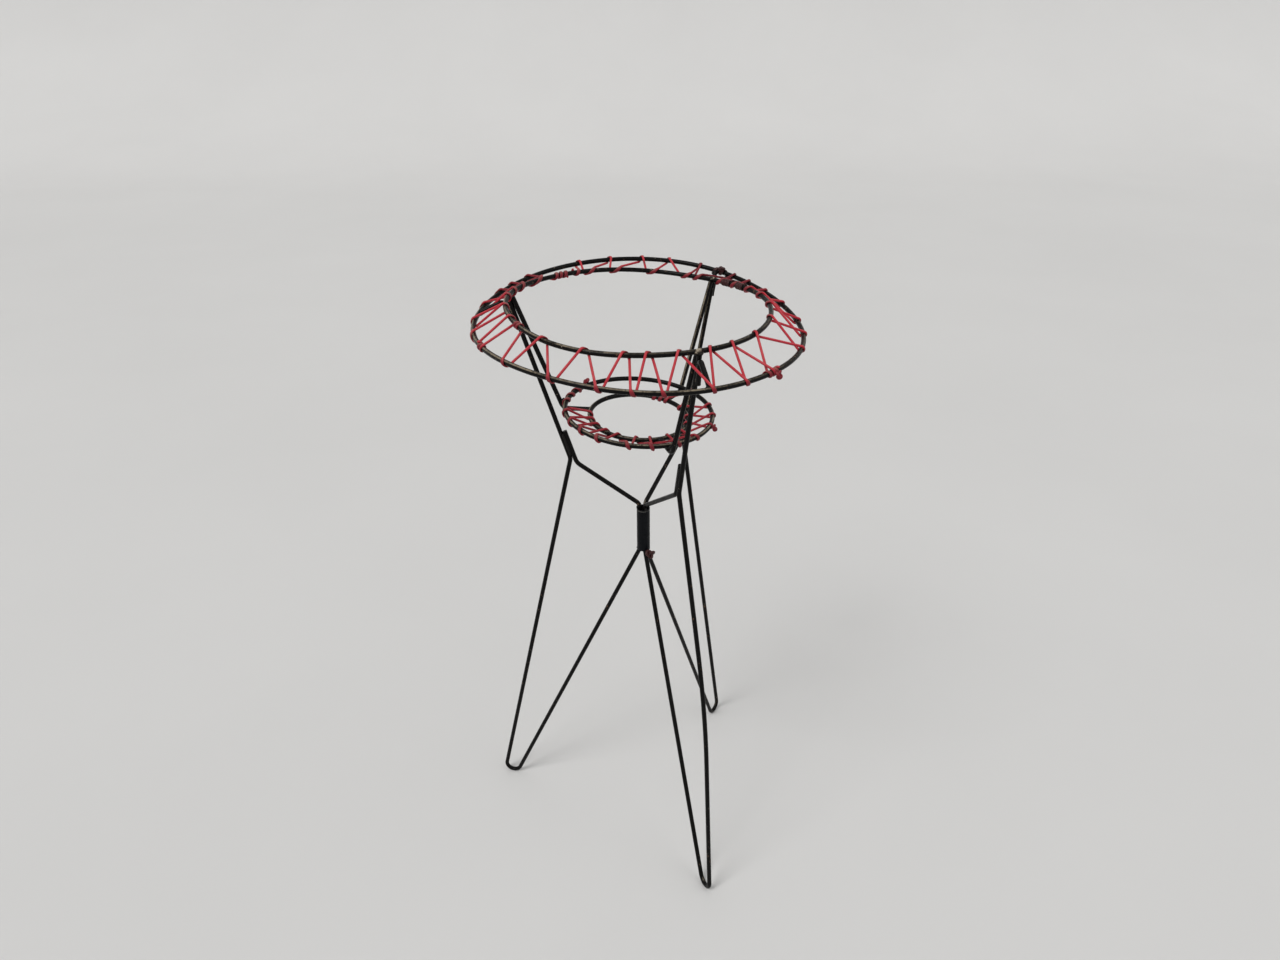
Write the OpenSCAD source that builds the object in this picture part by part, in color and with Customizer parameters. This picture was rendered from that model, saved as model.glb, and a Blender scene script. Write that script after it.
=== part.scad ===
// Plant stand of bent and welded steel rod, with plastic cord laced round its rings.
// Millimetres, +Z up, +Y to the back. The origin is on the floor, below the middle of
// the sleeve that ties the three legs together.
//
// Each leg is one rod. It is welded under the pot's collar, runs down to a knee, splays
// out to a hairpin foot, comes back up through the sleeve and ends beside the upright.
// Lists of three values give the left, the rear and the front leg, in that order.

/* [Rod and cord] */
// Diameter of the steel rod
rod_d = 5; // [4.5:0.1:5.5]
// Diameter of the plastic cord
cord_d = 2.2; // [1.8:0.1:2.4]

/* [Collar] */
// Radius of the ring that holds the pot's rim, to the middle of its rod
collar_r = 133; // [130:0.5:136]
// Height of the collar's middle
collar_z = 654; // [645:1:665]
// How far the collar's middle stands to the right and to the back of the sleeve
collar_shift = [-3.5, 8]; // [-10:0.5:10]
// Dip of the collar to the front and to the right, in degrees
collar_dip = [1.2, 2]; // [0:0.1:3]
// Heights of the two waves and of the four waves that hand bending left in the collar
collar_waves = [2.4, 1]; // [0:0.1:3]
// Directions of a crest of each, in degrees from the right
collar_crests = [-7, 10]; // [-180:1:180]

/* [Brim] */
// Radius of the wide outer ring
brim_r = 165; // [160:0.5:170]
// Height of the brim's middle
brim_z = 642.5; // [636:0.5:650]
// How far the brim's middle stands to the right and to the back of the sleeve
brim_shift = [-3, -1]; // [-5:1:5]
// Dip of the brim to the front and to the right, in degrees
brim_dip = [5.1, 2.3]; // [0:0.1:6]
// Heights of the two, three and four waves that hand bending left in the brim
brim_waves = [5, 1.3, 0.9]; // [0:0.1:6]
// Directions of a crest of each, in degrees from the right
brim_crests = [84, -25, 51]; // [-180:1:180]

/* [Tray] */
// Radius of the larger ring of the tray under the pot
tray_outer_r = 78; // [76:0.5:80]
// Radius of the smaller ring, which lies a little lower
tray_inner_r = 52; // [50:0.5:54]
// Heights of the larger and the smaller ring
tray_z = [543, 536]; // [530:1:550]
// How far the tray's middle stands to the right and to the back of the sleeve
tray_shift = [-4, 0]; // [-5:1:5]
// Dip of the tray to the front and to the right, in degrees
tray_dip = [3.7, 4.3]; // [0:0.1:5]

/* [Legs] */
// Directions of the legs, in degrees from the right
leg_turn = [170, 55, -66]; // [-180:1:180]
// Distance of each knee from the sleeve's axis
knee_out = [81, 81, 88]; // [78:1:90]
// Height of each knee
knee_z = [480, 482, 486]; // [475:1:490]
// Distance of each foot from the sleeve's axis
foot_out = [180, 176, 169.5]; // [160:0.5:190]
// Inner radius of the hairpin bend at each foot
foot_bend = [7, 7, 7.5]; // [4:0.5:8]
// How far each leg's outer arm is bent out of line, away from the sleeve
arm_bow = [0, 0, 18.5]; // [0:0.5:20]
// How far it is bent to the side
arm_swerve = [0, 0, 3]; // [0:0.5:6]
// Inner radius of the bends at the knee
knee_bend = 10; // [6:0.5:12]
// How far below each knee the leg's end meets its own upright
knee_drop = [6.5, 4, 5]; // [0:0.5:7]
// Length of the leg's end that is welded along its own upright
knee_lap = 33; // [25:1:38]

/* [Sleeve] */
// Height of the sleeve's lower end
sleeve_z = 372; // [365:1:380]
// Length of the sleeve
sleeve_len = 53; // [45:1:60]
// Bore of the sleeve
sleeve_bore = 12.8; // [11.5:0.1:13.5]
// Wall of the sleeve
sleeve_wall = 1; // [0.8:0.1:1.5]

/* [Hangers] */
// Height of each hanger's run under the tray
hanger_z = [540, 537, 527]; // [525:1:545]
// Gap between each hanger and the tray's larger ring, bridged by the weld
hanger_gap = [2.5, 0.2, 0.2]; // [0:0.1:3]
// Sideways lean of each hanger at its bend, seen from above
hanger_lean = [0, 3, -3.5]; // [-4:0.5:4]

/* [Struts] */
// Length of each strut's tail, welded along the outer face of the upright
strut_tail = [20, 16, 30]; // [15:1:32]
// How far the tail's end is from the middle of that face, in degrees round the upright
tail_face = [20, 10, 0]; // [-45:5:45]
// How far the strut's elbow is from it
elbow_face = [20, 10, -20]; // [-45:5:45]
// Directions of the struts' ends on the brim, in degrees from the right
strut_turn = [173, 58.5, -68]; // [-180:0.5:180]

/* [Lacing] */
// Advance of the cord along the collar, the brim and the tray's rings at each turn
lace_step = [6.5, 4.5, 4.5]; // [4:0.5:8]
// How much further it moves along the collar at the back, where it is wound loosely
lace_slack = 7; // [0:0.5:8]

/* [Hidden] */

$fn = 48;
rod_r = rod_d / 2;
cord_r = cord_d / 2;
LEFT = 0;
REAR = 1;
FRONT = 2;
LEGS = [LEFT, REAR, FRONT];
rod_colour = [0.09, 0.085, 0.08];
cord_colour = [0.66, 0.16, 0.17];

// Welded rods lie side by side with this much paint and filler between them
paint_gap = 0.15;
// The foot's lowest point is worn flat by this much
foot_wear = 0.3;
// Gap between a straight and its bend, inside the ball that fuses them
joint_gap = 0.2;

// Each wave of a hand-bent ring: height, how many go round, direction of a crest
COLLAR_WAVES = [
    [collar_waves[0], 2, collar_crests[0]],
    [collar_waves[1], 4, collar_crests[1]]
];
BRIM_WAVES = [
    [brim_waves[0], 2, brim_crests[0]],
    [brim_waves[1], 3, brim_crests[1]],
    [brim_waves[2], 4, brim_crests[2]]
];
// Each ring: radius, middle, dip, waves and the lacing's advance at a turn
COLLAR = [
    collar_r, [collar_shift.x, collar_shift.y, collar_z], collar_dip, COLLAR_WAVES,
    lace_step[0], lace_slack
];
BRIM = [
    brim_r, [brim_shift.x, brim_shift.y, brim_z], brim_dip, BRIM_WAVES,
    lace_step[1], 0
];
TRAY_OUTER = [
    tray_outer_r, [tray_shift.x, tray_shift.y, tray_z[0]], tray_dip, [],
    lace_step[2], 0
];
TRAY_INNER = [
    tray_inner_r, [tray_shift.x, tray_shift.y, tray_z[1]], tray_dip, [],
    lace_step[2], 0
];

// ---- Points and directions ----

function unit(v) = v / norm(v);

function mix(a, b, t) = a + (b - a) * t;

// Leans a vector as rotate([dip[0], dip[1], 0]) does
function lean(dip, v) =
    let (
        y = v.y * cos(dip[0]) - v.z * sin(dip[0]),
        z = v.y * sin(dip[0]) + v.z * cos(dip[0])
    )
    [v.x * cos(dip[1]) + z * sin(dip[1]), y, z * cos(dip[1]) - v.x * sin(dip[1])];

function sum(list) = len(list) == 0 ? 0 : list * [for (item = list) 1];

// Height of a ring's rod above the ring's own plane
function wave(ring, turn) = sum([for (w = ring[3]) w[0] * cos(w[1] * (turn - w[2]))]);

// Point at a distance from the rod of a ring. The angle called face goes round the
// rod: 0 is away from the ring's middle, 90 is up.
function by_ring(ring, turn, distance, face) =
    let (out = ring[0] + distance * cos(face))
    ring[1] + lean(
        ring[2],
        [out * cos(turn), out * sin(turn), wave(ring, turn) + distance * sin(face)]
    );

// Direction from the rod's middle to that point
function off_ring(ring, turn, face) =
    lean(ring[2], [cos(face) * cos(turn), cos(face) * sin(turn), sin(face)]);

// Where the upright plane through the sleeve's axis at an angle cuts a ring, as
// distance from the axis and height
function crossing(ring, turn) =
    let (
        middle = [ring[1].x, ring[1].y],
        way = [cos(turn), sin(turn)],
        along = middle * way,
        out = along + sqrt(ring[0] * ring[0] - middle * middle + along * along),
        arm = out * way - middle,
        tilt = arm.y * tan(ring[2][0]) - arm.x * tan(ring[2][1])
    )
    [out, ring[1].z + tilt + wave(ring, atan2(arm.y, arm.x))];

// Point in a leg's plane, given as distance from the axis and height
function leg_point(leg, p, side = 0) =
    let (a = leg_turn[leg])
    [p.x * cos(a) - side * sin(a), p.x * sin(a) + side * cos(a), p.y];

// Direction from a point to a circle's tangent, on the side that sign gives
function tangent_way(p, middle, radius, sign) =
    let (
        way = unit(middle - p),
        a = sign * asin(radius / norm(middle - p))
    )
    [way.x * cos(a) - way.y * sin(a), way.x * sin(a) + way.y * cos(a)];

// Meeting point of the line through p along u and the line through q along v
function meet(p, u, q, v) =
    let (t = ((q.x - p.x) * v.y - (q.y - p.y) * v.x) / (u.x * v.y - u.y * v.x))
    p + t * u;

// ---- Bent rods ----

// How much of each straight a bend takes away
function trim(p, q, s, radius) =
    radius / tan(acos(unit(p - q) * unit(s - q)) / 2);

module straight(p, q) {
    way = q - p;
    translate(p)
        rotate([0, acos(way.z / norm(way)), atan2(way.y, way.x)])
            cylinder(d = rod_d, h = norm(way));
}

// Arc of rod that rounds the corner q between p and s
module bend(p, q, s, radius) {
    a = unit(p - q);
    b = unit(s - q);
    cut = trim(p, q, s, radius);
    middle = q + unit(a + b) * norm([cut, radius]);
    from = unit(q + a * cut - middle);
    to = unit(q + b * cut - middle);
    axis = unit(cross(from, to));
    side = cross(axis, from);
    sweep = acos(from * to);
    multmatrix([
        [from.x, side.x, axis.x, middle.x],
        [from.y, side.y, axis.y, middle.y],
        [from.z, side.z, axis.z, middle.z],
        [0, 0, 0, 1]
    ])
        rotate_extrude(angle = sweep, $fn = max($fn, ceil(8 * 360 / sweep)))
            translate([radius, 0])
                circle(d = rod_d, $fn = 24);
}

// Rod along a path, with a bend of its own radius at each inner corner. A ball a
// hair wider than the rod fuses each straight to its bend. The balls' poles stay out of
// the seams, so they don't lie square to any straight.
module rod(path, radii, poles = [0, 0, 1]) {
    last = len(path) - 1;
    cuts = [
        for (i = [0:last])
            i == 0 || i == last ? 0 : trim(path[i - 1], path[i], path[i + 1], radii[i - 1])
    ];
    for (i = [0:last - 1]) {
        way = unit(path[i + 1] - path[i]);
        from = path[i] + way * cuts[i];
        to = path[i + 1] - way * cuts[i + 1];
        straight(
            from + way * (i == 0 ? 0 : joint_gap),
            to - way * (i == last - 1 ? 0 : joint_gap)
        );
        if (i > 0)
            joint(from, poles);
        if (i < last - 1)
            joint(to, poles);
    }
    for (i = [1:last - 1])
        bend(path[i - 1], path[i], path[i + 1], radii[i - 1]);
}

module joint(at, poles) {
    translate(at)
        rotate([0, acos(poles.z), atan2(poles.y, poles.x)])
            sphere(d = rod_d + 0.08);
}

// ---- Swept tubes ----

// Triangles between the rings of a tube, and over its two ends
function tube_faces(rings, sides, closed) =
    let (last = closed ? rings - 1 : rings - 2)
    concat(
        [
            for (i = [0:last], k = [0:sides - 1], half = [0, 1])
                let (
                    a = i * sides + k,
                    b = i * sides + (k + 1) % sides,
                    c = ((i + 1) % rings) * sides + (k + 1) % sides,
                    d = ((i + 1) % rings) * sides + k
                )
                half == 0 ? [a, b, c] : [a, c, d]
        ],
        closed ? [] : [for (k = [1:sides - 2]) [0, k + 1, k]],
        closed ? [] : [
            for (k = [1:sides - 2])
                let (a = (rings - 1) * sides)
                [a, a + k, a + k + 1]
        ]
    );

// Tube along points, each with a direction in which the first side faces
module tube(points, facings, radius, sides, closed = false) {
    n = len(points);
    rings = [
        for (i = [0:n - 1])
            let (
                before = points[closed ? (i + n - 1) % n : max(i - 1, 0)],
                after = points[closed ? (i + 1) % n : min(i + 1, n - 1)],
                way = unit(after - before),
                up = unit(facings[i] - way * (facings[i] * way)),
                across = cross(up, way)
            )
            for (k = [0:sides - 1])
                let (a = 360 * k / sides)
                points[i] + radius * (cos(a) * up + sin(a) * across)
    ];
    polyhedron(rings, tube_faces(n, sides, closed), convexity = 8);
}

// ---- Rings ----

module flat_ring(ring) {
    color(rod_colour)
        translate(ring[1])
            rotate([ring[2][0], ring[2][1], 0])
                rotate_extrude($fn = 120)
                    translate([ring[0], 0])
                        circle(d = rod_d, $fn = 24);
}

// A ring with waves is swept along its path
module wavy_ring(ring) {
    turns = [for (i = [0:71]) i * 5];
    color(rod_colour)
        tube(
            [for (t = turns) by_ring(ring, t, 0, 0)],
            [for (t = turns) off_ring(ring, t, 0)],
            rod_r, 12, closed = true
        );
}

module collar_ring() {
    wavy_ring(COLLAR);
}

module brim_ring() {
    wavy_ring(BRIM);
}

module tray_outer_ring() {
    flat_ring(TRAY_OUTER);
}

module tray_inner_ring() {
    flat_ring(TRAY_INNER);
}

// ---- Legs ----

// Head of the upright: just under the collar, a little outside its middle
function head(leg) = crossing(COLLAR, leg_turn[leg]) + [1.2, -1.8];

function knee(leg) = [knee_out[leg], knee_z[leg]];

function upright_way(leg) = unit(head(leg) - knee(leg));

// Point beside the upright on its inner side, at a distance above the knee
function beside_upright(leg, above) =
    let (way = upright_way(leg))
    knee(leg) + way * above + [-way.y, way.x] * (rod_d + paint_gap);

// Middle of the hairpin's bend
function foot_middle(leg) = [foot_out[leg], foot_bend[leg] + rod_d - foot_wear];

function bowed(leg) = arm_bow[leg] != 0 || arm_swerve[leg] != 0;

// Where the outer arm sets out straight for the foot: its knee, or its bowed middle
function arm_start(leg) =
    let (outside = foot_middle(leg) + [foot_bend[leg] + rod_r, 0])
    bowed(leg) ? mix(knee(leg), outside, 0.5) + [arm_bow[leg], 0] : knee(leg);

// Meeting point of the two arms' lines, far below the hairpin that joins them
function foot_corner(leg) =
    let (
        radius = foot_bend[leg] + rod_r,
        outer = tangent_way(arm_start(leg), foot_middle(leg), radius, 1),
        inner = tangent_way(sleeve_foot, foot_middle(leg), radius, -1)
    )
    meet(arm_start(leg), outer, sleeve_foot, inner);

// The three rods stand round the sleeve's axis, just inside its wall
sleeve_out = sleeve_bore / 2 - rod_r - 0.1;
sleeve_bend = 8.5;
sleeve_foot = [sleeve_out, sleeve_z];
sleeve_head = [sleeve_out, sleeve_z + sleeve_len + 4.5];
bow_bend = 900;

module leg(i) {
    path = concat(
        [leg_point(i, head(i)), leg_point(i, knee(i))],
        bowed(i) ? [leg_point(i, arm_start(i), arm_swerve[i])] : [],
        [
            leg_point(i, foot_corner(i)),
            leg_point(i, sleeve_foot),
            leg_point(i, sleeve_head),
            leg_point(i, beside_upright(i, -knee_drop[i])),
            leg_point(i, beside_upright(i, knee_lap))
        ]
    );
    radii = concat(
        [knee_bend + rod_r],
        bowed(i) ? [bow_bend] : [],
        [foot_bend[i] + rod_r, sleeve_bend, sleeve_bend, knee_bend + rod_r]
    );
    color(rod_colour)
        difference() {
            rod(path, radii);
            leg_floor(i);
        }
}

// Floor under a foot, which has worn it flat
module leg_floor(i) {
    translate(leg_point(i, [foot_out[i], -5]))
        cube([30, 30, 10], center = true);
}

module leg_left() {
    leg(LEFT);
}

module leg_rear() {
    leg(REAR);
}

module leg_front() {
    leg(FRONT);
}

module leg_sleeve() {
    color(rod_colour)
        translate([0, 0, sleeve_z])
            difference() {
                cylinder(d = sleeve_bore + 2 * sleeve_wall, h = sleeve_len);
                translate([0, 0, -1])
                    cylinder(d = sleeve_bore, h = sleeve_len + 2);
            }
}

// ---- Hangers and struts ----

hanger_bend = 8;

// Hanger: from the collar down past the outside of the tray's larger ring, then in
// under it to the smaller ring
function hanger_path(leg) =
    let (
        top = crossing(COLLAR, leg_turn[leg]) + [-3.6, -1.8],
        outer = crossing(TRAY_OUTER, leg_turn[leg]),
        inner = crossing(TRAY_INNER, leg_turn[leg]),
        way = tangent_way(top, outer, rod_d + hanger_gap[leg], 1),
        corner = meet(top, way, [0, hanger_z[leg]], [1, 0]),
        lean = hanger_lean[leg]
    )
    [
        leg_point(leg, top),
        leg_point(leg, corner, lean),
        leg_point(leg, [inner.x + rod_r - 0.3, inner.y], lean)
    ];

module hanger(i) {
    color(rod_colour)
        rod(hanger_path(i), [hanger_bend], poles = unit([1, 1, 1]));
}

module hanger_left() {
    hanger(LEFT);
}

module hanger_rear() {
    hanger(REAR);
}

module hanger_front() {
    hanger(FRONT);
}

// Strut: a tail beside the upright, then out below the collar to the brim
// Point at a distance below the upright's head, and at another from the middle of its
// rod. A face of 0 looks outward in the leg's own plane.
function round_upright(leg, below, distance, face) =
    let (way = upright_way(leg))
    leg_point(
        leg,
        head(leg) - way * below + distance * cos(face) * [way.y, -way.x],
        distance * sin(face)
    );

// Where the tail and the upright are side by side. A tail that turns round the upright
// stands further off, because a straight rod between two faces cuts the corner.
function tail_gap(leg) =
    (rod_d + paint_gap) / cos((tail_face[leg] - elbow_face[leg]) / 2);

function strut_path(leg) =
    let (
        tail = round_upright(leg, strut_tail[leg], tail_gap(leg), tail_face[leg]),
        elbow = round_upright(leg, strut_drop, tail_gap(leg), elbow_face[leg]),
        brim = by_ring(BRIM, strut_turn[leg], 0, 0)
    )
    [tail, elbow, brim + unit(elbow - brim) * (rod_r - 0.3)];

strut_drop = 2.5;
strut_bend = 5;

module brim_strut(i) {
    color(rod_colour)
        rod(strut_path(i), [strut_bend]);
}

module brim_strut_left() {
    brim_strut(LEFT);
}

module brim_strut_rear() {
    brim_strut(REAR);
}

module brim_strut_front() {
    brim_strut(FRONT);
}

// ---- Welds ----

// Beads of weld metal lie side by side, this far apart
bead_gap = 0.2;

module bead(at, diameter) {
    translate(at)
        sphere(d = diameter, $fn = 24);
}

// Middle of the seam between a strut's tail and its upright
function seam_point(leg, below) =
    let (
        t = (below - strut_drop) / (strut_tail[leg] - strut_drop),
        face = elbow_face[leg] + (tail_face[leg] - elbow_face[leg]) * t
    )
    round_upright(leg, below, (rod_d + paint_gap) / 2, face);

// Separate tacks, evenly spaced from one point to another
module tacks(p, q, count, diameter) {
    for (k = [0:count - 1])
        bead(mix(p, q, k / (count - 1)), diameter);
}

module collar_welds() {
    color(rod_colour)
        for (i = LEGS) {
            bead(leg_point(i, crossing(COLLAR, leg_turn[i]) + [0.8, -1.0]), 8);
            tacks(seam_point(i, strut_tail[i] - 1), seam_point(i, 9), 3, 3.6);
        }
}

module brim_welds() {
    color(rod_colour)
        for (i = LEGS)
            bead(strut_path(i)[2] + [0, 0, -0.9], 6.6);
}

module tray_welds() {
    color(rod_colour)
        for (i = LEGS) {
            outer = crossing(TRAY_OUTER, leg_turn[i]) + [rod_r + hanger_gap[i] / 2, -0.8];
            size = 3.4 + hanger_gap[i] / 2;
            for (side = [-1, 1])
                bead(leg_point(i, outer, hanger_lean[i] + side * (size + bead_gap) / 2), size);
            bead(hanger_path(i)[2], 6);
        }
}

module knee_welds() {
    size = 3.4;
    color(rod_colour)
        for (i = LEGS, side = [-1, 1]) {
            middle = [for (above = [4, knee_lap - 2]) mix(
                knee(i) + upright_way(i) * above,
                beside_upright(i, above),
                0.5
            )];
            tacks(
                leg_point(i, middle[0], side * (size + bead_gap) / 2),
                leg_point(i, middle[1], side * (size + bead_gap) / 2),
                4, size
            );
        }
}

module sleeve_welds() {
    color(rod_colour)
        for (i = LEGS, z = [sleeve_z, sleeve_z + sleeve_len])
            bead(leg_point(i, [sleeve_out + rod_r, z]), 3.2);
}

// ---- Lacing ----

// The cord zigzags between two rings. From the underside of one ring it goes to the
// top of the other, so it turns a little more than half way round each rod.

lace_out = rod_r + cord_r - 0.15;
wrap_points = 6;
coil_points = 8;

// Slope of the line from the inner ring to the outer one, in degrees
function lace_slope(inner, outer, turn) =
    let (a = by_ring(inner, turn, 0, 0), b = by_ring(outer, turn, 0, 0))
    atan2(b.z - a.z, norm([b.x - a.x, b.y - a.y]));

// How far the cord's run leans from that line, because it passes from below to above
function lace_cross(inner, outer, turn) =
    let (gap = norm(by_ring(outer, turn, 0, 0) - by_ring(inner, turn, 0, 0)))
    asin(2 * lace_out / gap);

// Faces of the rod at which the cord arrives and leaves, on the inner and outer ring
function inner_faces(inner, outer, turn) =
    let (slope = lace_slope(inner, outer, turn), x = lace_cross(inner, outer, turn))
    [90 + slope - x, 270 + slope + x];

function outer_faces(inner, outer, turn) =
    let (slope = lace_slope(inner, outer, turn), x = lace_cross(inner, outer, turn))
    [90 + slope + x, slope - x - 90];

// Points round a rod, each as [point, facing]: from one face to another while the
// cord moves along the ring
function wound(ring, turns, faces, count, sign) = [
    for (k = [0:count - 1])
        let (
            t = k / (count - 1),
            turn = mix(turns[0], turns[1], t),
            face = mix(faces[0], faces[1], t)
        )
        [by_ring(ring, turn, lace_out, face), sign * off_ring(ring, turn, face)]
];

// Directions at which the cord arrives at a ring and leaves it again. A turn is given
// either as these two or as the one half way between them.
function span(ring, turn) =
    is_list(turn) ? turn : let (
        step = ring[4] + ring[5] * pow(max(sin(turn), 0), 2),
        half = step / 2 / ring[0] * 180 / PI
    )
    [turn - half, turn + half];

function inner_wrap(inner, outer, turn) =
    let (turns = span(inner, turn))
    wound(inner, turns, inner_faces(inner, outer, turns[0]), wrap_points, 1);

function outer_wrap(inner, outer, turn) =
    let (turns = span(outer, turn))
    wound(outer, turns, outer_faces(inner, outer, turns[0]), wrap_points, -1);

// Coil of whole turns round one ring, ending where the lacing sets out
function inner_coil(inner, outer, from, to, count) =
    let (end = inner_faces(inner, outer, to)[1])
    wound(inner, [from, to], [end - 360 * count, end], count * coil_points + 1, 1);

function outer_coil(inner, outer, from, to, count) =
    let (end = outer_faces(inner, outer, to)[1])
    wound(outer, [from, to], [end + 360 * count, end], count * coil_points + 1, -1);

// Coil that ends a cord, beginning where the lacing arrives
function inner_tail(inner, outer, from, to, count) =
    let (start = inner_faces(inner, outer, from)[0])
    wound(inner, [from, to], [start, start + 360 * count], count * coil_points + 1, 1);

function outer_tail(inner, outer, from, to, count) =
    let (start = outer_faces(inner, outer, from)[0])
    wound(outer, [from, to], [start, start - 360 * count], count * coil_points + 1, -1);

// Turns round the inner and the outer ring by turns, the inner one first
function zigzag(inner, outer, inner_turns, outer_turns) = [
    for (i = [0:len(inner_turns) - 1])
        each concat(
            inner_wrap(inner, outer, inner_turns[i]),
            i < len(outer_turns) ? outer_wrap(inner, outer, outer_turns[i]) : []
        )
];

// Left cord of the brim: coiled on the collar at the back, laced round the left side
// and tied to the brim there
left_collar_turns = [
    [141, 149.5], [155.5, 160], [165, 167.5], [174.8, 176.3], [188.8, 191.2], [203, 206]
];
left_brim_turns = [147.5, [153.5, 158.5], [166, 171], [180.5, 182.7], [193.5, 199]];
left_lace = concat(
    inner_coil(COLLAR, BRIM, 126, 134, 3),
    outer_wrap(COLLAR, BRIM, 138.7),
    zigzag(COLLAR, BRIM, left_collar_turns, left_brim_turns),
    outer_tail(COLLAR, BRIM, 208.4, 204.2, 2)
);

// Front cord of the brim: coiled on the collar beside the left one's end, and tied to
// the brim at the front right
front_collar_turns = [229.5, 249, 265, 274, 286.2, 299.6, 310.6];
front_brim_turns = [242, 257.5, 268, 277.3, 293, 305.2];
front_lace = concat(
    inner_coil(COLLAR, BRIM, 209.8, 213.8, 2),
    outer_wrap(COLLAR, BRIM, 223),
    zigzag(COLLAR, BRIM, front_collar_turns, front_brim_turns),
    outer_tail(COLLAR, BRIM, 316.8, 319.8, 2)
);

// Right cord of the brim: tied beside the front one's end, laced round the right side
// and the back
right_collar_turns = [326, 346, 3, 17, 28, 38, 47, 60, 66, 83, 101, 114];
right_brim_turns = [342, 356, 8, 23, 34, 43, 50, 65, 78, 89, 102, 115];
right_lace = concat(
    outer_coil(COLLAR, BRIM, 313.6, 316.1, 1),
    zigzag(COLLAR, BRIM, right_collar_turns, right_brim_turns),
    inner_tail(COLLAR, BRIM, 120, 123, 1)
);

// The tray's cord: coiled on the larger ring at the left, laced round the front and
// the right, and coiled on the smaller ring at the back
tray_inner_turns = [185, 200, 214, 231, 247, 268, 284, 306, 327, 348, 366, 390];
tray_outer_turns = [192, 207, 222, 238, 262, 279, 300, 318, 341, 359, 376, 405];
tray_lace = concat(
    outer_coil(TRAY_INNER, TRAY_OUTER, 146, 177, 3),
    zigzag(TRAY_INNER, TRAY_OUTER, tray_inner_turns, tray_outer_turns),
    inner_tail(TRAY_INNER, TRAY_OUTER, 412, 436, 3)
);

// Least distance between stretches of one cord that aren't neighbours, less the cord
function least_gap(points, spacing = 2) =
    let (
        fine = [
            for (i = [0:len(points) - 2])
                let (n = ceil(norm(points[i + 1] - points[i]) / spacing))
                for (k = [0:n - 1])
                    mix(points[i], points[i + 1], k / n)
        ],
        apart = ceil(4 * cord_d / spacing) + 3,
        last = len(fine) - 1
    )
    min([
        for (i = [0:last - apart])
            min([for (j = [i + apart:last]) norm(fine[j] - fine[i])])
    ]) - cord_d;

module cord(name, route) {
    echo(str("least gap of ", name, " to itself"), least_gap([for (p = route) p[0]]));
    color(cord_colour)
        tube([for (p = route) p[0]], [for (p = route) p[1]], cord_r, 6);
}

module brim_lacing_left() {
    cord("left brim cord", left_lace);
}

module brim_lacing_front() {
    cord("front brim cord", front_lace);
}

module brim_lacing_right() {
    cord("right brim cord", right_lace);
}

module tray_lacing() {
    cord("tray cord", tray_lace);
}

// ---- Knots ----

// Overhand knot: an open trefoil, drawn tight, its ends let go at one side
function knot_point(t, size) =
    size * [sin(t) + 2 * sin(2 * t), cos(t) - 2 * cos(2 * t), -1.1 * sin(3 * t)];

module knot(at, turn, size) {
    ts = [for (i = [0:20]) 20 + i * 16];
    points = [for (t = ts) knot_point(t, size)];
    color(cord_colour)
        translate(at)
            rotate(turn)
                tube(points, [for (p = points) [0, 0, 1]], cord_r, 6);
}

module brim_lace_knot() {
    knot(by_ring(BRIM, 318, rod_r + 3.2, -10), [70, 0, 50], 1.3);
}

module rear_lace_knot() {
    knot(by_ring(BRIM, 55, rod_r + 2.8, 125), [80, 0, 150], 1.1);
}

module tray_lace_knot_left() {
    knot(by_ring(TRAY_OUTER, 137, rod_r + 1.5, 60), [60, 20, 230], 1.3);
}

module tray_lace_knot_right() {
    knot(by_ring(TRAY_OUTER, 341, rod_r + 2.6, -10), [60, 20, 70], 1.2);
}

// Scrap of an older lacing that is left at the sleeve's foot
module sleeve_lace_scrap() {
    knot(leg_point(FRONT, [sleeve_out + rod_r + 5.5, sleeve_z - 2], 3), [90, 0, 0], 1.7);
}

collar_ring();
brim_ring();
tray_outer_ring();
tray_inner_ring();
leg_left();
leg_rear();
leg_front();
hanger_left();
hanger_rear();
hanger_front();
brim_strut_left();
brim_strut_rear();
brim_strut_front();
leg_sleeve();
collar_welds();
brim_welds();
tray_welds();
knee_welds();
sleeve_welds();
brim_lacing_left();
brim_lacing_front();
brim_lacing_right();
tray_lacing();
brim_lace_knot();
rear_lace_knot();
tray_lace_knot_left();
tray_lace_knot_right();
sleeve_lace_scrap();
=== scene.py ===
"""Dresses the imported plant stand: worn black paint, weld metal and laced plastic cord.

The stand is a tripod of bent steel rod. Two rings at the top hold a pot's rim, two
smaller ones make its tray, and red plastic cord is laced between the rings of each
pair. Lengths are in metres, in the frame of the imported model.
"""

import math
from collections import namedtuple

import bpy
import numpy as np
from mathutils import Matrix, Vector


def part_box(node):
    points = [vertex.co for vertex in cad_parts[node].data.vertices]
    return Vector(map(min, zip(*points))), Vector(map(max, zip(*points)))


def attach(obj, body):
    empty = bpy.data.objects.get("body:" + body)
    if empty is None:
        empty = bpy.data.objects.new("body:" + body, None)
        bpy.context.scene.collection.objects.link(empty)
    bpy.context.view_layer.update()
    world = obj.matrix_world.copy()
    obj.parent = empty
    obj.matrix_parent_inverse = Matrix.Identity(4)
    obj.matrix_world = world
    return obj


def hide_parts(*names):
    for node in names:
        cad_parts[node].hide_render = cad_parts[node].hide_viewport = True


bl_info = {
    "name": "Laced Plant Stand",
    "version": (1, 0, 0),
    "blender": (4, 5, 0),
    "location": "3D View > Sidebar > Plant Stand",
    "description": "Paint, welds and laced cord for a plant stand of bent rod",
    "category": "Object",
}

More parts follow.
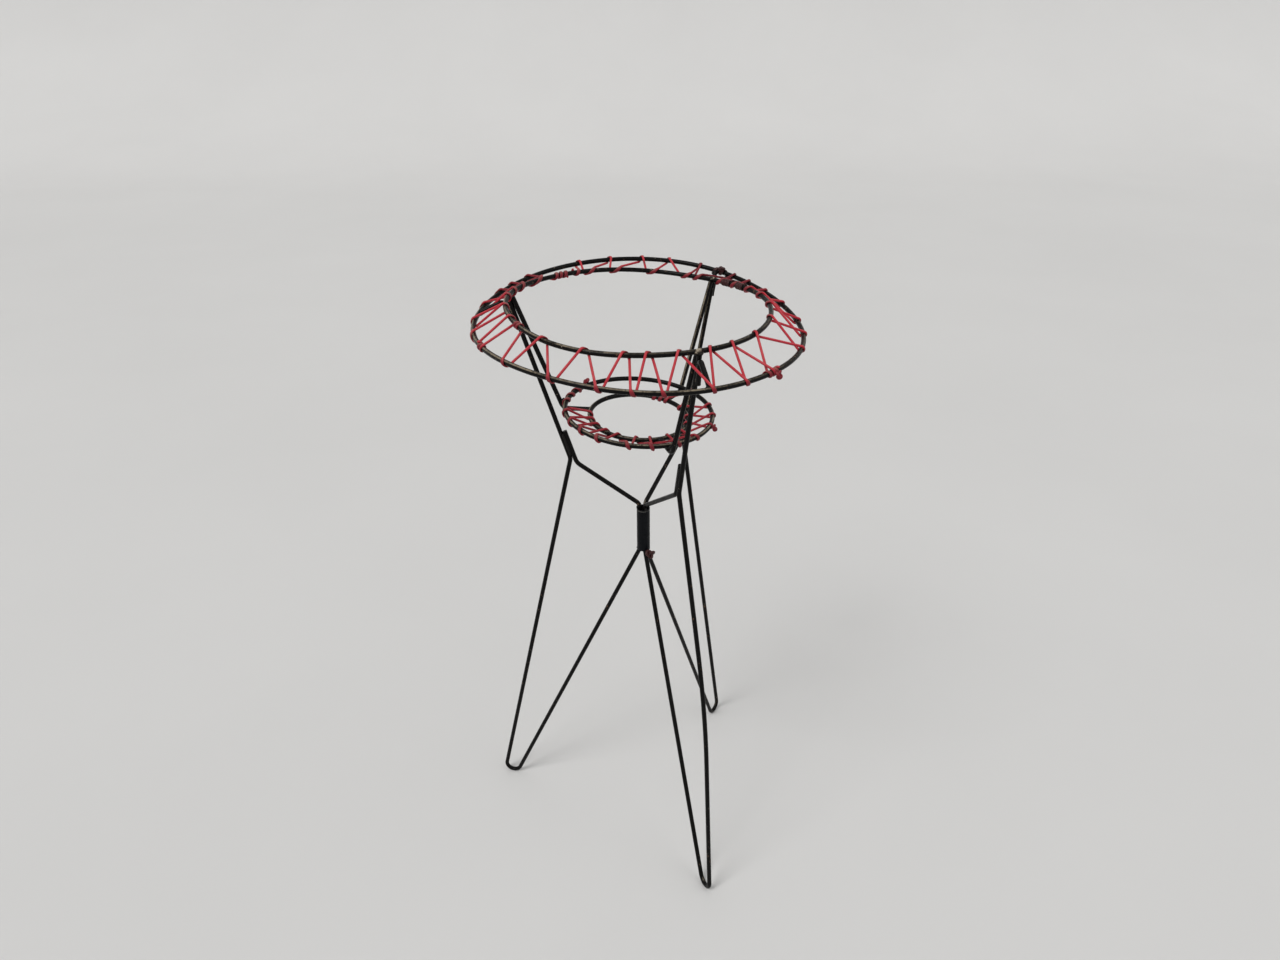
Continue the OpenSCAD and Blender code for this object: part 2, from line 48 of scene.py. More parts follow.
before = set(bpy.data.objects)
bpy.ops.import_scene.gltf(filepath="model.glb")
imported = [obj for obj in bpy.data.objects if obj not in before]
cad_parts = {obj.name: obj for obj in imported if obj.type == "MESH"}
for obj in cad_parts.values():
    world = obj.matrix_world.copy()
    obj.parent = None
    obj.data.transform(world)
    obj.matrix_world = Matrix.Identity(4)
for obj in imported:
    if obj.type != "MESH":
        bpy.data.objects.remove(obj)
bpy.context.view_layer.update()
MM = 0.001
TAU = 2 * math.pi

LEGS = ("left", "rear", "front")

# The CAD nodes of rod that stay as they are
RODS = [part + leg for part in ("leg_", "hanger_", "brim_strut_") for leg in LEGS]
TRAY_RINGS = ("tray_outer_ring", "tray_inner_ring")


# ---- Sizes and colours ----


class StandSizes(bpy.types.PropertyGroup):
    """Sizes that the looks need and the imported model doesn't name"""

    rod: bpy.props.FloatProperty(
        name="Rod", description="Diameter of the steel rod",
        default=5 * MM, unit="LENGTH")
    cord: bpy.props.FloatProperty(
        name="Cord", description="Diameter of the plastic cord",
        default=2.5 * MM, unit="LENGTH")
    ring_sides: bpy.props.IntProperty(
        name="Rod sides", description="Sides of a swept rod", default=28)
    cord_sides: bpy.props.IntProperty(
        name="Cord sides", description="Sides of a swept cord", default=14)
    collar_step: bpy.props.FloatProperty(
        name="Collar step", description="Advance of the cord along the collar at each turn",
        default=6.5 * MM, unit="LENGTH")
    collar_slack: bpy.props.FloatProperty(
        name="Collar slack", description="What the turns at the back of the collar advance more",
        default=7 * MM, unit="LENGTH")
    brim_step: bpy.props.FloatProperty(
        name="Brim step", description="Advance of the cord along the brim at each turn",
        default=4.5 * MM, unit="LENGTH")
    tray_step: bpy.props.FloatProperty(
        name="Tray step", description="Advance of the cord along the tray's rings at each turn",
        default=4.5 * MM, unit="LENGTH")


class StandColours(bpy.types.PropertyGroup):
    """Colours of the finishes"""

    paint: bpy.props.FloatVectorProperty(
        name="Paint", description="Black paint on the rod", subtype="COLOR",
        default=(0.0024, 0.0022, 0.0021))
    # Pale paint for the line along the rods, partly worn paint and partly a painted highlight,
    # and for bare weld metal
    worn_and_lit_paint: bpy.props.FloatVectorProperty(
        name="Worn paint", description="Where handling has rubbed the paint thin",
        subtype="COLOR", default=(0.235, 0.195, 0.14))
    chip: bpy.props.FloatVectorProperty(
        name="Chips", description="Bare spots that have gone brown", subtype="COLOR",
        default=(0.085, 0.05, 0.03))
    fleck: bpy.props.FloatVectorProperty(
        name="Flecks", description="Small pale flecks on the paint", subtype="COLOR",
        default=(0.4, 0.345, 0.265))
    sleeve: bpy.props.FloatVectorProperty(
        name="Sleeve", description="Paint on the sleeve", subtype="COLOR",
        default=(0.0022, 0.0025, 0.0034))
    weld: bpy.props.FloatVectorProperty(
        name="Weld", description="Weld metal under the paint", subtype="COLOR",
        default=(0.006, 0.005, 0.0045))
    cord: bpy.props.FloatVectorProperty(
        name="Cord", description="Red plastic cord", subtype="COLOR",
        default=(0.45, 0.022, 0.037))
    # Paler red where the cord faces up: partly faded by light, partly a painted highlight
    cord_faded_and_lit: bpy.props.FloatVectorProperty(
        name="Faded cord", description="Cord that light has faded", subtype="COLOR",
        default=(0.56, 0.07, 0.08))
    # Dark red for the cord's painted shade, and for the deeper red of knots and old cord
    cord_deep_and_shaded: bpy.props.FloatVectorProperty(
        name="Tight cord", description="Cord stretched round a rod", subtype="COLOR",
        default=(0.14, 0.011, 0.018))
    cord_dusty: bpy.props.FloatVectorProperty(
        name="Dusty cord", description="Top of a turn, dulled by dust", subtype="COLOR",
        default=(0.3, 0.1, 0.08))
    cord_dirty: bpy.props.FloatVectorProperty(
        name="Dirty cord", description="Old cord, dark with dirt", subtype="COLOR",
        default=(0.04, 0.011, 0.011))
    rim: bpy.props.FloatVectorProperty(
        name="Rim", description="Worn line round the sleeve's upper rim", subtype="COLOR",
        default=(0.13, 0.125, 0.115))


class StandStage(bpy.types.PropertyGroup):
    """Camera, floor and light"""

    eye: bpy.props.FloatVectorProperty(
        name="Eye", description="Where the camera stands", subtype="TRANSLATION",
        default=(-0.0034, -0.9, 0.932))
    pitch: bpy.props.FloatProperty(
        name="Pitch", description="How far the camera looks down", subtype="ANGLE",
        default=math.radians(27.687))
    roll: bpy.props.FloatProperty(
        name="Roll", description="How far the camera leans", subtype="ANGLE",
        default=math.radians(-0.476))
    lens: bpy.props.FloatProperty(
        name="Lens", description="Focal length in millimetres, on a sensor 36 mm wide",
        default=26.0)
    floor: bpy.props.FloatVectorProperty(
        name="Floor", description="Colour of the floor and backdrop", subtype="COLOR",
        default=(0.66, 0.655, 0.645))


# ---- Rings, read from their CAD nodes ----


class Ring:
    """A ring's rod as a closed curve of the angle round its own middle.

    At each angle the middle of the rod is the mean of the CAD node's points near that
    angle. Each coordinate is then fitted with a constant and a few sines and cosines of
    whole multiples of the angle, by least squares. A cord that is laced round the ring
    advances along it by the step at each turn, and by up to the slack more at the back."""

    HARMONICS = 4
    BINS = 72

    def __init__(self, node, step=0.0, slack=0.0):
        points = node_points(node)
        middle = (points.max(0) + points.min(0)) / 2
        index = np.round(angles_round(middle, points) / 360 * self.BINS).astype(int) % self.BINS
        count = np.bincount(index, minlength=self.BINS)
        used = count > 0
        sums = np.stack([np.bincount(index, points[:, k], self.BINS) for k in range(3)], 1)
        means = sums[used] / count[used, None]
        middle = means.mean(0)
        self.waves = np.linalg.lstsq(
            self._basis(angles_round(middle, means)), means, rcond=None)[0]
        spread = means - middle
        normal = np.linalg.svd(spread, full_matrices=False)[2][2]
        self.up = normal * np.sign(normal[2])
        flat = spread - np.outer(spread @ self.up, self.up)
        self.radius = np.linalg.norm(flat, axis=1).mean()
        self.step = step
        self.slack = slack

    def _basis(self, turns):
        """Constant, cosine and sine of each whole multiple of the angle."""
        a = np.radians(np.atleast_1d(turns))[:, None] * np.arange(1, self.HARMONICS + 1)
        return np.hstack([np.ones((len(a), 1)), np.cos(a), np.sin(a)])

    def centre(self, turns):
        """Middle of the rod at each angle in degrees."""
        return self._basis(turns) @ self.waves

    def outward(self, turns):
        """Direction away from the ring's middle, square to the rod and to the ring's axis."""
        along = self.centre(np.asarray(turns) + 0.5) - self.centre(np.asarray(turns) - 0.5)
        return unit(np.cross(along, self.up))

    def by(self, turns, distance, faces):
        """Points at a distance from the rod's middle. A face of 0 degrees looks away from
        the ring's middle, and a face of 90 degrees looks up."""
        return self.centre(turns) + distance * self.off(turns, faces)

    def off(self, turns, faces):
        """Direction from the rod's middle to the face at each angle."""
        f = np.radians(np.atleast_1d(faces))[:, None]
        return np.cos(f) * self.outward(turns) + np.sin(f) * self.up


def angles_round(middle, points):
    """Direction from the middle to each point in degrees, seen from above."""
    return np.degrees(np.arctan2(points[:, 1] - middle[1], points[:, 0] - middle[0]))


def node_points(node):
    """All points of a CAD node's mesh, as an array."""
    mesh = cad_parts[node].data
    points = np.empty(len(mesh.vertices) * 3)
    mesh.vertices.foreach_get("co", points)
    return points.reshape(-1, 3)


def unit(v):
    """Vectors brought to length 1, along the last axis."""
    return v / np.maximum(np.linalg.norm(v, axis=-1, keepdims=True), 1e-12)


# ---- Meshes from arrays ----


def add_mesh(name, vertices, faces, finish):
    """A smooth mesh object in the scene."""
    mesh = bpy.data.meshes.new(name)
    mesh.from_pydata(vertices.tolist(), [], faces)
    mesh.polygons.foreach_set("use_smooth", np.ones(len(mesh.polygons), bool))
    mesh.materials.append(finish.material)
    thing = bpy.data.objects.new(name, mesh)
    bpy.context.scene.collection.objects.link(thing)
    return thing


def add_piece(name, vertices, faces, finish, slot, uv=None, press=None):
    """A mesh object on the root body. It may have a UV for each corner, and for each
    vertex how hard a cord is pressed to its rod."""
    piece = add_mesh(name, vertices, faces, finish)
    if uv is not None:
        layer = piece.data.uv_layers.new(name="Length and girth")
        layer.data.foreach_set("uv", uv.astype(np.float32).ravel())
    if press is not None:
        layer = piece.data.attributes.new("press", "FLOAT", "POINT")
        layer.data.foreach_set("value", press.astype(np.float32))
    piece.data.update()
    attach(piece, "root")
    return piece


def sweep(path, facings, radii, sides, closed=False):
    """A tube along a path: the point at step i and side k is the path's point plus the
    radius times cos(k) of the facing and sin(k) of the direction across it. The facing is
    first made square to the path, and a second column of radii is the one across. Returns
    vertices, quads and the UV of each corner, with length along the tube in U and girth in
    V, both in metres."""
    n = len(path)
    if closed:
        way = unit(np.roll(path, -1, 0) - np.roll(path, 1, 0))
    else:
        way = unit(np.gradient(path, axis=0))
    up = unit(facings - way * (facings * way).sum(1, keepdims=True))
    across = np.cross(way, up)
    a = TAU * np.arange(sides) / sides
    radii = np.reshape(radii, (-1, 2 if np.ndim(radii) == 2 else 1))
    rings = path[:, None] + (np.cos(a)[:, None] * (radii[:, :1] * up)[:, None]
                             + np.sin(a)[:, None] * (radii[:, -1:] * across)[:, None])
    steps = np.arange(n if closed else n - 1)
    i, k = np.meshgrid(steps, np.arange(sides), indexing="ij")
    i, k = i.ravel(), k.ravel()
    j, m = (i + 1) % n, (k + 1) % sides
    quads = np.stack([i * sides + k, i * sides + m, j * sides + m, j * sides + k], 1)
    length = travelled(np.vstack([path, path[:1]]))
    girth = np.mean(radii) * TAU * np.arange(sides + 1) / sides
    corners = (i, k), (i, k + 1), (i + 1, k + 1), (i + 1, k)
    uv = np.stack([np.stack([length[p], girth[q]], 1) for p, q in corners], 1)
    faces, uv = quads.tolist(), uv.reshape(-1, 2)
    if not closed:
        faces += [list(range(sides))[::-1], list(range((n - 1) * sides, n * sides))]
        uv = np.vstack([uv, np.zeros((2 * sides, 2))])
    return rings.reshape(-1, 3), faces, uv


def travelled(points):
    """How far along the line each point is."""
    return np.r_[0, np.cumsum(np.linalg.norm(np.diff(points, axis=0), axis=1))]


def rounded_ends(path, radius, steps=5, tip=0.02):
    """The path with the points that close a tube's two ends in half rounds, and the radii:
    at a distance x before the end, the radius is the root of r^2-(r-x)^2. A small share
    of r is added as a tip, so that the tube doesn't end in a point."""
    x = radius * (1 - np.cos(np.linspace(0, math.pi / 2, steps + 1)[:-1]))
    shape = np.sqrt(np.maximum(radius ** 2 - (radius - x) ** 2, 0)) + tip * radius
    first = unit(path[1] - path[0])
    last = unit(path[-1] - path[-2])
    head = path[0] + np.outer(x - radius, first)
    tail = path[-1] + np.outer(radius - x[::-1], last)
    radii = np.r_[shape, np.full(len(path), radius), shape[::-1]]
    return np.vstack([head, path, tail]), radii


def soften(points, passes):
    """Each inner point moves half way to the mean of its neighbours, a few times over."""
    points = points.copy()
    for _ in range(passes):
        points[1:-1] += 0.5 * ((points[:-2] + points[2:]) / 2 - points[1:-1])
    return points


def respace(points, spacing):
    """Points at an even distance along the same line. The first three columns are the
    place, and what the others hold is carried along."""
    along = travelled(points[:, :3])
    even = np.linspace(0, along[-1], max(int(along[-1] / spacing), 8))
    return np.stack([np.interp(even, along, points[:, k]) for k in range(points.shape[1])], 1)


# ---- Lacing ----


class Lacing:
    """Cord that zigzags between an inner and an outer ring.

    From the underside of one ring it goes to the top of the other, so it turns a little
    more than half way round each rod, and is pressed flat there. Each method returns rows
    of a point, the direction that the cord's outer face has there, and how hard it is
    pressed, from 0 to 1."""

    WRAP = 19  # Points in one turn of the zigzag
    COIL = 26  # Points in each whole turn of a coil
    FLAT = 0.35  # Share by which the pressed cord is thinner
    WIDE = 0.6  # Share by which it is wider
    EASE = 55  # Degrees over which the pressing grows
    BITE = 0.08 * MM  # How far the cord sinks into the rod's paint

    def __init__(self, inner, outer, sizes):
        self.inner = inner
        self.outer = outer
        self.cord = sizes.cord / 2
        self.out = sizes.rod / 2 + self.cord - self.BITE

    def faces(self, ring, turn):
        """Faces of a ring's rod at which the cord arrives and leaves. The run between the
        rings is a tangent that crosses their plane."""
        a, b = self.inner.centre(turn)[0], self.outer.centre(turn)[0]
        gap = b - a
        slope = math.degrees(math.atan2(gap @ self.inner.up, np.linalg.norm(
            gap - self.inner.up * (gap @ self.inner.up))))
        x = math.degrees(math.asin(min(2 * self.out / np.linalg.norm(gap), 0.99)))
        if ring is self.inner:
            return 90 + slope - x, 270 + slope + x
        return 90 + slope + x, slope - x - 90

    def sense(self, ring):
        """Which way the cord goes round a ring's rod, 1 or -1."""
        return 1 if ring is self.inner else -1

    def wound(self, ring, turns, faces, count):
        """Points round a rod while the cord moves along the ring, both at a steady rate.
        The pressing grows from both ends over EASE degrees, as 3x^2-2x^3, and brings the
        cord nearer to the rod by as much as it is flattened. On the outer ring the facing
        is turned about, so that the cord doesn't twist."""
        t = np.linspace(0, 1, count)
        turn = turns[0] + (turns[1] - turns[0]) * t
        face = faces[0] + (faces[1] - faces[0]) * t
        press = np.clip(np.minimum(t, 1 - t) * abs(faces[1] - faces[0]) / self.EASE, 0, 1)
        press = (press ** 2 * (3 - 2 * press))[:, None]
        out = self.out - self.FLAT * self.cord * press
        facings = self.sense(ring) * ring.off(turn, face)
        return np.hstack([ring.by(turn, out, face), facings, press])

    def span(self, ring, turn):
        """Directions at which the cord arrives at a ring and leaves it: given as a pair, or
        as the one half way between them. The cord advances by a step and by the slack
        times the square of the direction's sine, where that is above 0."""
        if not np.isscalar(turn):
            return turn
        step = ring.step + ring.slack * max(math.sin(math.radians(turn)), 0) ** 2
        half = math.degrees(step / 2 / ring.radius)
        return turn - half, turn + half

    def wrap(self, ring, turn):
        """One turn of the lacing round a ring."""
        turns = self.span(ring, turn)
        return self.wound(ring, turns, self.faces(ring, turns[0]), self.WRAP)

    def coil(self, ring, start, end, count):
        """Whole turns round one ring, ending where the lacing sets out."""
        face = self.faces(ring, end)[1]
        first = face - 360 * count * self.sense(ring)
        return self.wound(ring, (start, end), (first, face), count * self.COIL)

    def tail(self, ring, start, end, count):
        """Whole turns round one ring that end a cord, from where the lacing arrives."""
        face = self.faces(ring, start)[0]
        last = face + 360 * count * self.sense(ring)
        return self.wound(ring, (start, end), (face, last), count * self.COIL)

    def zigzag(self, inner_turns, outer_turns):
        """Turns round the two rings by turns, the inner one first."""
        rows = []
        for i, turn in enumerate(inner_turns):
            rows.append(self.wrap(self.inner, turn))
            if i < len(outer_turns):
                rows.append(self.wrap(self.outer, outer_turns[i]))
        return rows


def cord_piece(name, rows, nodes, finish, sizes, spacing=0.5 * MM):
    """A cord along rows of points, facings and pressing, drawn tight between its turns."""
    route = respace(np.vstack(rows), spacing)
    path, radii = rounded_ends(soften(route[:, :3], 3), sizes.cord / 2)
    extra = (len(path) - len(route)) // 2
    facings, press = np.split(
        np.pad(soften(route[:, 3:], 6), ((extra, extra), (0, 0)), mode="edge"), [3], axis=1)
    radii = radii[:, None] * (1 + press * [-Lacing.FLAT, Lacing.WIDE])
    points, faces, uv = sweep(path, facings, radii, sizes.cord_sides)
    press = np.repeat(press[:, 0], sizes.cord_sides)
    piece = add_piece(name, points, faces, finish, "cord", uv, press)
    if nodes:
        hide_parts(*nodes)
    return piece


# ---- Knots ----


DROOP = 0.9  # How far a knot's cut end hangs at its tip, as a share of its length
ASKEW = np.array([0.31, 0.2, 0.93])  # A way that no part of a knot's line runs along
# The knot's pressing also sets its painted shade and its dust
KNOT_PRESS = 0.7  # How hard the cord of a knot is pressed


def knot_piece(name, node, turn, tails, girth, finish, sizes, spacing=0.45 * MM):
    """An overhand knot drawn tight, where its CAD node is. Its line is sin(t)+2sin(2t),
    cos(t)-2cos(2t), -1.1sin(3t), turned to its place and brought to the CAD node's size.
    Two cut ends run on from it, each bending towards the floor with the square of the
    distance along it. The girth is how much thicker than the cord it has swollen."""
    t = np.radians(np.linspace(20, 340, 110))
    line = np.stack([
        np.sin(t) + 2 * np.sin(2 * t), np.cos(t) - 2 * np.cos(2 * t), -1.1 * np.sin(3 * t)], 1)
    tilt = np.array(Matrix.Rotation(math.radians(turn[2]), 3, "Z")
                    @ Matrix.Rotation(math.radians(turn[1]), 3, "Y")
                    @ Matrix.Rotation(math.radians(turn[0]), 3, "X"))
    line = line @ tilt.T
    low, high = np.array(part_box(node))
    spread = (high - low - sizes.cord) / (line.max(0) - line.min(0))
    line = (line - (line.max(0) + line.min(0)) / 2) * spread.mean() + (low + high) / 2
    ends = []
    for start, before, length in ((line[0], line[1], tails[0]), (line[-1], line[-2], tails[1])):
        s = np.linspace(0, length, 16)[1:, None]
        fall = np.array([0, 0, 1]) * s ** 2 / max(length, MM) * DROOP
        ends.append(start + s * unit(start - before) - fall)
    path = soften(respace(np.vstack([ends[0][::-1], line, ends[1]]), spacing), 4)
    path, radii = rounded_ends(path, sizes.cord / 2 * girth)
    facings = np.cross(unit(np.gradient(path, axis=0)), tilt @ ASKEW)
    points, faces, uv = sweep(path, facings, radii, sizes.cord_sides)
    piece = add_piece(name, points, faces, finish, "cord", uv, np.full(len(points), KNOT_PRESS))
    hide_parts(node)
    return piece


# ---- Weld metal ----


Beads = namedtuple("Beads", "middles radii points")


def beads_of(node):
    """Middle, radius and points of each separate bead of a weld node. Points that share
    a triangle are given the same label, the lowest of theirs, until nothing changes."""
    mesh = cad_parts[node].data
    points = node_points(node)
    corners = np.empty(len(mesh.loops), int)
    mesh.loops.foreach_get("vertex_index", corners)
    same = np.unique(np.round(points, 6), axis=0, return_inverse=True)[1].ravel()
    triangles = same[corners].reshape(-1, 3)
    label = np.arange(same.max() + 1)
    while True:
        lowest = label[triangles].min(1)
        new = label.copy()
        for k in range(3):
            np.minimum.at(new, triangles[:, k], lowest)
        if (new == label).all():
            break
        label = new
    label = label[same]
    found = [points[label == k] for k in np.unique(label)]
    middles = np.array([(p.max(0) + p.min(0)) / 2 for p in found])
    radii = np.array([(p.max(0) - p.min(0)).mean() / 2 for p in found])
    return Beads(middles, radii, found)


def long_axis(points, inset):
    """The two ends of a cloud of points along its longest axis, each drawn in a little."""
    middle = (points.max(0) + points.min(0)) / 2
    axis = np.linalg.svd(points - points.mean(0), full_matrices=False)[2][0]
    reach = (points - middle) @ axis
    return middle + axis * (reach.min() + inset), middle + axis * (reach.max() - inset)


def lump(middle, reach, axes, seed, columns=40, rows=24):
    """A closed lump of weld metal: a globe whose radius is 1 plus four soft waves in
    random directions, stretched to its reach in millimetres along three axes. Its poles
    are single points."""
    rng = np.random.default_rng(seed)
    u = TAU * np.arange(columns) / columns
    v = math.pi * np.arange(1, rows) / rows
    way = np.stack([
        np.outer(np.sin(v), np.cos(u)), np.outer(np.sin(v), np.sin(u)),
        np.outer(np.cos(v), np.ones(columns))], -1).reshape(-1, 3)
    way = np.vstack([way, [[0, 0, 1], [0, 0, -1]]])
    heights = [0.09, 0.07, 0.05, 0.035]
    waves = unit(rng.normal(size=(4, 3))) * rng.uniform(2.2, 5.5, (4, 1))
    size = 1 + (np.sin(way @ waves.T + rng.uniform(0, TAU, 4)) * heights).sum(1)
    points = middle + (way * size[:, None] * (np.array(reach) * MM)) @ np.asarray(axes)
    i, k = np.meshgrid(np.arange(rows - 2), np.arange(columns), indexing="ij")
    i, k = i.ravel(), k.ravel()
    m = (k + 1) % columns
    quads = np.stack([i * columns + k, (i + 1) * columns + k,
                      (i + 1) * columns + m, i * columns + m], 1)
    k = np.arange(columns)
    m = (k + 1) % columns
    top, base = len(points) - 2, len(points) - 1
    last = (rows - 2) * columns
    caps = np.vstack([np.stack([np.full(columns, top), k, m], 1),
                      np.stack([np.full(columns, base), last + m, last + k], 1)])
    return points, quads.tolist() + caps.tolist()


def join(shapes):
    """Several meshes as one list of points and faces."""
    points, faces, count = [], [], 0
    for p, f in shapes:
        points.append(p)
        faces += [[c + count for c in face] for face in f]
        count += len(p)
    return np.vstack(points), faces


def seam(start, end, radius, seed, pitch=2.1 * MM, stray=0.18 * MM, sides=16):
    """A rippled run of weld metal between two points: a tube whose radius swells by a
    tenth and shrinks once in each pitch, on a line that strays a little to each side."""
    rng = np.random.default_rng(seed)
    length = np.linalg.norm(end - start)
    s = np.linspace(0, 1, max(int(length / (0.3 * MM)), 12))[:, None]
    side = unit(np.cross(unit(end - start), [0.3, 0.2, 0.9]))
    phase = rng.uniform(0, TAU, 2)
    line = start + (end - start) * s + side * stray * np.sin(9 * s + phase[0])
    ends = np.sqrt(np.clip(1 - (2 * s[:, 0] - 1) ** 16, 0.02, 1))
    ripple = 1 + 0.1 * np.abs(np.sin(math.pi * s[:, 0] * length / pitch + phase[1]))
    points, faces, _ = sweep(line, np.tile(side, (len(line), 1)), radius * ripple * ends, sides)
    return points, faces


def in_threes(middles):
    """The beads of each leg: those that are nearest to it in direction from the axis."""
    ways = [unit(np.array(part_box("leg_" + leg)).sum(0)[:2]) for leg in LEGS]
    nearest = np.argmax(unit(middles[:, :2]) @ np.array(ways).T, axis=1)
    return [np.flatnonzero(nearest == leg) for leg in range(len(LEGS))]


def largest(beads):
    """For each leg its number, the middle of its largest bead, the axes of the ring's rod
    there, and its other beads."""
    for leg, group in enumerate(in_threes(beads.middles)):
        big = group[np.argmax(beads.radii[group])]
        middle = beads.middles[big]
        yield leg, middle, rod_axes(round_stand(middle)), group[group != big]


def round_stand(place):
    """The way that runs round the stand's axis at a place."""
    return unit(np.cross([0, 0, 1], place * [1, 1, 0]))


def rod_axes(way):
    """Three axes at right angles, the third along the way."""
    side = unit(np.cross(way, [0.21, 0.37, 0.9]))
    return np.stack([side, np.cross(way, side), way])


# ---- Finishes ----


class Shading:
    """A node tree, with short ways to add to it. Each method adds a node or a few, links
    them and returns what comes out."""

    def __init__(self, tree):
        self.nodes = tree.nodes
        self.link = tree.links.new

    def node(self, kind, inputs=(), **settings):
        """The outputs of a new node. Each of its inputs is given with its name or number,
        and is a socket or what to set it to."""
        n = self.nodes.new("ShaderNode" + kind)
        for name, value in settings.items():
            setattr(n, name, value)
        for place, value in dict(inputs).items():
            if isinstance(value, bpy.types.NodeSocket):
                self.link(value, n.inputs[place])
            else:
                n.inputs[place].default_value = value
        return n.outputs

    def noise(self, vector, scale, detail=4.0, roughness=0.55):
        """A noise texture, with scale in waves to the unit of the vector."""
        return self.node("TexNoise", {"Vector": vector, "Scale": scale, "Detail": detail,
                                      "Roughness": roughness})["Fac"]

    def between(self, value, low, high, start=0.0, end=1.0):
        """A value brought from one range to another, without going past it."""
        return self.node("MapRange", {"Value": value, "From Min": low, "From Max": high,
                                      "To Min": start, "To Max": end}, clamp=True)["Result"]

    def maths(self, operation, value, *others):
        """Values put together one after the other, each a socket or a number."""
        for other in others:
            value = self.node("Math", {0: value, 1: other}, operation=operation)["Value"]
        return value

    def times(self, *values):
        """Values multiplied with each other."""
        return self.maths("MULTIPLY", *values)

    def vector_maths(self, operation, *values):
        """Vectors put together, each a socket or three numbers."""
        return self.node("VectorMath", enumerate(values), operation=operation)

    def split(self, vector):
        """The X, Y and Z of a vector, by name."""
        return self.node("SeparateXYZ", {0: vector})

    def stretched(self, vector, scale):
        """A vector scaled along each axis."""
        return self.node("Mapping", {"Vector": vector, "Scale": scale})["Vector"]

    def blended(self, share, a, b):
        """One colour that turns into another by a share. A colour is a socket or three
        numbers. The node takes its colours at inputs 6 and 7 and gives one at output 2."""
        a, b = (c if isinstance(c, bpy.types.NodeSocket) else (*c, 1) for c in (a, b))
        return self.node("Mix", {"Factor": share, 6: a, 7: b}, data_type="RGBA")[2]


class Finish(Shading):
    """A new material with one shader, whose patterns lie on Object coordinates"""

    def __init__(self, name):
        self.material = bpy.data.materials.new(name)
        self.material.use_nodes = True
        super().__init__(self.material.node_tree)
        self.surface = self.nodes["Principled BSDF"].inputs
        self.coordinates = self.node("TexCoord")
        self.place = self.coordinates["Object"]

    def pattern(self, scale, low, high, detail=4.0, roughness=0.55, start=0.0, end=1.0):
        """Noise of so many waves to the metre, that sets in at low and is full at high."""
        return self.between(
            self.noise(self.place, scale, detail, roughness), low, high, start, end)

    def normal(self):
        """The way that the surface faces."""
        return self.node("NewGeometry")["Normal"]

    def upward(self, low, high):
        """How far the surface faces up, from 0 to 1."""
        return self.between(self.split(self.normal())["Z"], low, high)

    def crest_line(self, low, high, way=None):
        """How far the surface faces along a way, from 0 to 1. Where no way is given, it is
        up and away from the stand's axis, at 60 degrees from the level."""
        if not way:
            flat = self.vector_maths("MULTIPLY", self.place, (1, 1, 0))["Vector"]
            away = self.vector_maths("NORMALIZE", flat)["Vector"]
            way = self.vector_maths(
                "MULTIPLY_ADD", away, (0.5, 0.5, 0.5), (0, 0, 0.866))["Vector"]
        facing = self.vector_maths("DOT_PRODUCT", self.normal(), way)["Value"]
        return self.between(facing, low, high)

    def colour(self, colour, *layers):
        """Gives the surface its colour, which turns by the share of each layer in turn into
        that layer's colour."""
        for share, over in layers:
            colour = self.blended(share, colour, over)
        self.link(colour, self.surface["Base Color"])

    def gloss(self, roughness, specular):
        """Sets how rough the surface is, by a number or a pattern, and how it mirrors."""
        if isinstance(roughness, float):
            self.surface["Roughness"].default_value = roughness
        else:
            self.link(roughness, self.surface["Roughness"])
        self.surface["Specular IOR Level"].default_value = specular

    def bumped(self, height, depth):
        """Raises the surface by a height between 0 and 1, times a depth in metres."""
        bump = self.node("Bump", {"Strength": 1.0, "Distance": depth, "Height": height})
        self.link(bump["Normal"], self.surface["Normal"])


# How fine the patterns of the paint are, in waves to the metre
TINTS, PATCHES, SHEEN, SPOTS, SCRATCHES, FLECKS, BRUSH = 24, 42, 130, 240, 420, 560, 700


def paint_finish(name, colours, worn_and_lit_share, chips, base=None, fade=None, way=None):
    """Old black paint: brushed on, chipped to brown in spots, and with a pale line along the
    rod's upper outer side that is partly worn paint and partly a painted highlight. The
    third argument is the share of that line that shows, and chips that of the bare spots.
    The line grows fainter from the one to the other place along X in fade, and lies on the
    side that faces along way where that is given."""
    f = Finish(name)
    crest = f.crest_line(0.9, 0.985, way)
    if fade:
        crest = f.times(crest, f.between(f.split(f.place)["X"], *fade, 1.0, 0.3))
    patches = f.pattern(PATCHES, 0.66 - 0.34 * worn_and_lit_share, 0.84 - 0.34 * worn_and_lit_share, 5, 0.62)
    # The pale line: partly worn paint, partly a painted highlight along the rod's upper outer
    # side
    worn_and_lit_line = f.times(patches, crest, f.pattern(SCRATCHES, 0.3, 0.52, 4, 0.6))
    spots = f.pattern(SPOTS, 0.75 - 0.13 * chips, 0.78 - 0.13 * chips, 3, 0.5)
    flecks = f.pattern(FLECKS, 0.8 - 0.08 * chips, 0.83 - 0.08 * chips, 2, 0.4)
    dark = base or colours.paint
    f.colour(dark, (f.pattern(TINTS, 0.3, 0.7, 3), [2.1 * c for c in dark]),
             (worn_and_lit_line, colours.worn_and_lit_paint), (spots, colours.chip), (flecks, colours.fleck))
    sheen = f.pattern(SHEEN, 0.3, 0.72, start=0.22, end=0.4)
    f.gloss(f.maths("ADD", sheen, f.times(spots, 0.25)), 0.09)
    brush = f.times(f.noise(f.place, BRUSH, 3, 0.5), 0.5)
    f.bumped(f.maths("SUBTRACT", brush, f.times(spots, 0.5)), 0.12 * MM)
    return f


